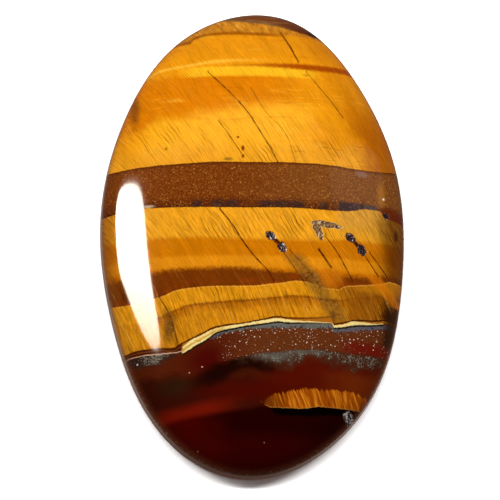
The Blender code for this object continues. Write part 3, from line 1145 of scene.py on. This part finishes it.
def emitter(name, strength, fade, tint):
    """A glowing material, which may dim towards -Y."""
    material = bpy.data.materials.new(name)
    material.use_nodes = True
    material.node_tree.nodes.clear()
    recipe = Recipe(material.node_tree)
    brightness = strength
    if fade:
        start, end, left = fade
        place = recipe.make("ShaderNodeTexCoord", {}, "Object")
        y = recipe.make("ShaderNodeSeparateXYZ", {"Vector": place}, "Y")
        brightness = ramp(y, start, end, strength * left, strength)
    glow = recipe.make("ShaderNodeEmission", {"Color": (*tint, 1.0), "Strength": brightness})
    recipe.make("ShaderNodeOutputMaterial", {"Surface": glow})
    return material


def rounded(corners):
    """Cuts every corner of an outline three times, which leaves it smoothly rounded."""
    for _ in range(3):
        cut = []
        for (x, y), (after_x, after_y) in zip(corners, corners[1:] + corners[:1]):
            cut.append((0.75 * x + 0.25 * after_x, 0.75 * y + 0.25 * after_y))
            cut.append((0.25 * x + 0.75 * after_x, 0.25 * y + 0.75 * after_y))
        corners = tuple(cut)
    return corners


def reflected_panel(name, azimuth, elevation, corners, strength, fade=None, tint=PLAIN):
    """A flat panel that faces the stone and shows only as a reflection in its polish."""
    a, e = math.radians(azimuth), math.radians(elevation)
    away = Vector((-math.cos(e) * math.cos(a), math.cos(e) * math.sin(a), math.sin(e)))
    across = away.cross(Vector((0, 0, 1))).normalized()
    up = across.cross(away)
    mesh = bpy.data.meshes.new(name)
    points = [away * PANEL_DISTANCE + across * (h * MM) + up * (v * MM) for h, v in rounded(corners)]
    mesh.from_pydata(points, [], [range(len(points))])
    mesh.materials.append(emitter(name, strength, fade, tint))
    panel = bpy.data.objects.new(name, mesh)
    bpy.context.scene.collection.objects.link(panel)
    panel.visible_camera = False
    panel.visible_diffuse = False
    panel.visible_shadow = False


def soft_light(name, place, size, power):
    """An area light on the stone that doesn't show in its polish."""
    lamp = bpy.data.lights.new(name, "AREA")
    lamp.shape = "RECTANGLE"
    lamp.size, lamp.size_y = size
    lamp.energy = power
    light = bpy.data.objects.new(name, lamp)
    light.location = place
    light.rotation_euler = (-Vector(place)).to_track_quat("-Z", "Y").to_euler()
    light.visible_glossy = False
    bpy.context.scene.collection.objects.link(light)


def build_floor():
    """A plain pale floor, which the stone's polish doesn't mirror: the world stands for it there."""
    mesh = bpy.data.meshes.new("floor")
    h = FLOOR_HALF
    mesh.from_pydata([(-h, -h, 0), (h, -h, 0), (h, h, 0), (-h, h, 0)], [], [(0, 1, 2, 3)])
    floor = bpy.data.objects.new("floor", mesh)
    floor.location.z = -FLOOR_DROP
    material = bpy.data.materials.new("floor")
    material.use_nodes = True
    shader = material.node_tree.nodes["Principled BSDF"]
    shader.inputs["Base Color"].default_value = (FLOOR_GREY, FLOOR_GREY, FLOOR_GREY, 1)
    shader.inputs["Roughness"].default_value = 1.0
    shader.inputs["Specular IOR Level"].default_value = 0.0
    mesh.materials.append(material)
    floor.visible_glossy = False
    floor.visible_diffuse = False
    bpy.context.scene.collection.objects.link(floor)


def sky_gradient(sky, height, tint, steps):
    """A tint, this bright at each step up from straight below to straight above."""
    node = sky.tree.nodes.new("ShaderNodeValToRGB")
    sky.feed(node.inputs["Fac"], height)
    stops = node.color_ramp.elements
    for sine, _ in steps[1:-1]:
        stops.new((sine + 1) / 2)
    for stop, (sine, grey) in zip(stops, steps):
        stop.position = (sine + 1) / 2
        stop.color = (*(grey * part for part in tint), 1)
    return Value(sky, node.outputs["Color"])


def build_world():
    """White behind the floor, and around the stone soft light from above and dark walls."""
    world = bpy.data.worlds.new("studio")
    bpy.context.scene.world = world
    world.use_nodes = True
    world.node_tree.nodes.clear()
    sky = Recipe(world.node_tree)
    place = sky.make("ShaderNodeTexCoord", {}, "Generated")
    y, z = (sky.make("ShaderNodeSeparateXYZ", {"Vector": place}, axis) for axis in "YZ")
    height = ramp(z, -1.0, 1.0, 0.0, 1.0)
    start, end, left = FRONT_SHADE
    mirrored = {0: sky_gradient(sky, height, *REFLECTED_SKY), "Scale": ramp(y, start, end, left, 1.0)}
    seen = sky.make("ShaderNodeVectorMath", mirrored, operation="SCALE")
    for ray, tint, steps in OTHER_SKIES:
        by_this_ray = sky.make("ShaderNodeLightPath", {}, ray)
        seen = paint(seen, sky_gradient(sky, height, tint, steps), by_this_ray)
    background = sky.make("ShaderNodeBackground", {"Color": seen})
    sky.make("ShaderNodeOutputWorld", {"Surface": background})


def build_camera():
    """Looks down on the face from a little in front and to the left, as the photo does."""
    back = Vector((-math.tan(math.radians(VIEW_TILT_LEFT)), -math.tan(math.radians(VIEW_TILT_FRONT)), 1))
    back.normalize()
    right = Vector((0, 1, 0)).cross(back).normalized()
    up = back.cross(right)
    camera = bpy.data.cameras.new("camera")
    camera.sensor_width = SENSOR
    camera.lens = SENSOR * VIEW_DISTANCE / VIEW_WIDTH
    camera.clip_start = VIEW_NEAREST
    holder = bpy.data.objects.new("camera", camera)
    turn = Matrix((right, up, back)).transposed().to_4x4()
    holder.matrix_world = Matrix.Translation(VIEW_AIM + back * VIEW_DISTANCE) @ turn
    bpy.context.scene.collection.objects.link(holder)
    bpy.context.scene.camera = holder


def build_studio():
    build_floor()
    build_world()
    build_camera()
    reflected_panel("key_panel", **KEY_PANEL)
    reflected_panel("haze_panel", **HAZE_PANEL)
    soft_light("top_light", *TOP_LIGHT)
    soft_light("left_light", *LEFT_LIGHT)
    bpy.context.scene.view_settings.view_transform = "Standard"


stone = build_stone()
stone.data.materials.append(stone_material())
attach(stone, "root")
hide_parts("cabochon")
build_studio()
